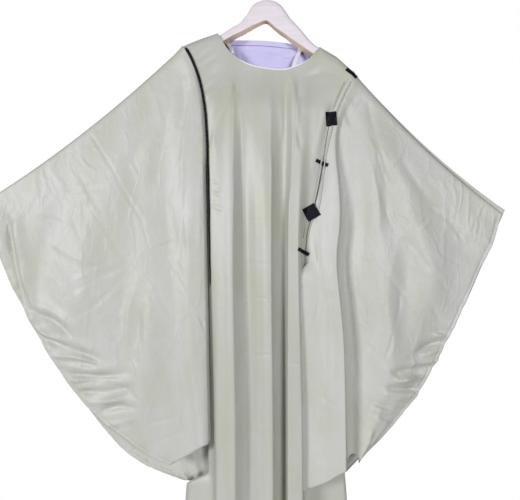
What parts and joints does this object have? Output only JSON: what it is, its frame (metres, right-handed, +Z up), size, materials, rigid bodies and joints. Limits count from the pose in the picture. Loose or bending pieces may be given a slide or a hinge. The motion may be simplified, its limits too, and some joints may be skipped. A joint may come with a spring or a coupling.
{
  "type": "butterfly abaya on a wooden clothes hanger",
  "caption": "Long round-necked abaya with wide butterfly wing sleeves, black seam piping and patches, hung on a wooden hanger.",
  "frame": {"origin": "the inside top of the hanger's hook, where it bears on a rail", "axes": "+Z up, -Y is the front of the garment, +X to the right as seen from the front"},
  "size_m": [1.2465, 0.124, 1.5738],
  "materials": {
    "satin": "pale sage satin with a soft sheen",
    "lining": "pale lavender lining",
    "ribbon": "white satin ribbon",
    "black_satin": "black satin trim",
    "wood": "pale sanded wood with a clear coat",
    "steel": "bright steel wire"
  },
  "bodies": {
    "root": {"front": "satin", "back": "satin", "sleeve_left_front": "satin", "sleeve_left_back": "satin", "sleeve_right_front": "satin", "sleeve_right_back": "satin", "neck_facing_front": "ribbon", "neck_band_back": "lining", "back_lining": "lining", "hanger_loop_left": "ribbon", "hanger_loop_right": "ribbon", "piping_left": "black_satin", "tuck_cord_inner": "satin", "tuck_cord_outer": "satin", "bar_top": "black_satin", "bar_middle": "black_satin", "bar_low": "black_satin", "square_top": "black_satin", "square_low": "black_satin", "hanger_wood": "wood", "hanger_hook": "steel"}
  },
  "joints": []
}
